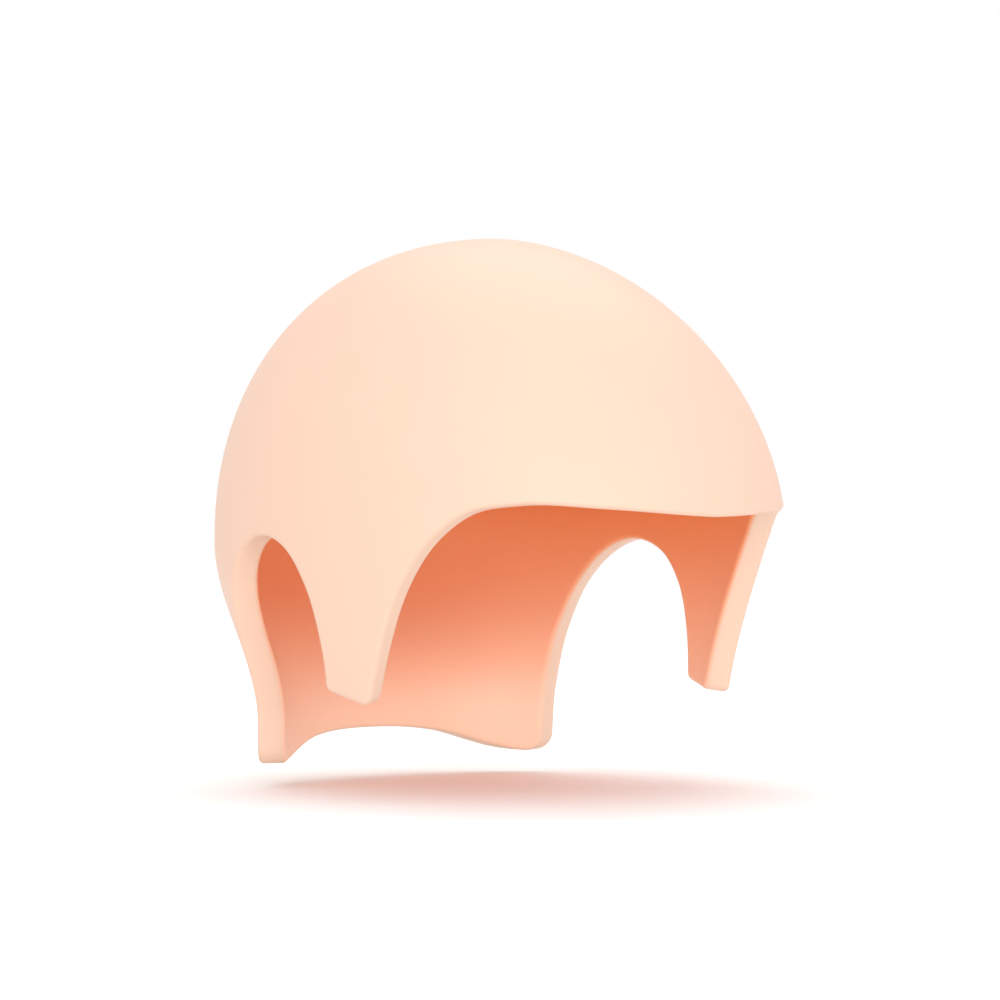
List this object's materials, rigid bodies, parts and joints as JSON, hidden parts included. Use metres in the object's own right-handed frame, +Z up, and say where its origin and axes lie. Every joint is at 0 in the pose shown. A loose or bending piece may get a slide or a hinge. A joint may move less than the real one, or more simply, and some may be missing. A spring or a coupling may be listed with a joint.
{
  "type": "highlighting cap",
  "caption": "Thick soft hair-colouring cap with a brow edge, temple tabs before open ear notches, and a nape flap, which flex on sprung lines.",
  "frame": {"origin": "on the crown axis, level with the widest part of the head, which is the centre of the head that fills the cap", "axes": "+Z up through the crown, -Y out of the face opening, +X to the wearer's left ear"},
  "size_m": [0.1746, 0.2157, 0.1778],
  "materials": {
    "peach_silicone": "satin moulded silicone, opaque peach, not painted"
  },
  "bodies": {
    "crown_shell": {"crown_shell": "peach_silicone"},
    "left_temple_tab": {"left_temple_tab": "peach_silicone"},
    "right_temple_tab": {"right_temple_tab": "peach_silicone"},
    "nape_flap": {"nape_flap": "peach_silicone"}
  },
  "joints": [
    {"name": "left_tab_flex", "type": "hinge", "parent": "crown_shell", "child": "left_temple_tab", "pos_m": [0.07357, -0.05, -0.012], "axis": [-0.2232, -0.9748, 0], "range_deg": [-10, 35], "stiffness_Nm_per_rad": 0.25},
    {"name": "right_tab_flex", "type": "hinge", "parent": "crown_shell", "child": "right_temple_tab", "pos_m": [-0.07357, -0.05, -0.012], "axis": [-0.2232, 0.9748, 0], "range_deg": [-10, 35], "stiffness_Nm_per_rad": 0.25},
    {"name": "nape_flex", "type": "hinge", "parent": "crown_shell", "child": "nape_flap", "pos_m": [0, 0.07927, -0.035], "axis": [1, 0, 0], "range_deg": [0, 15], "stiffness_Nm_per_rad": 1.2}
  ]
}
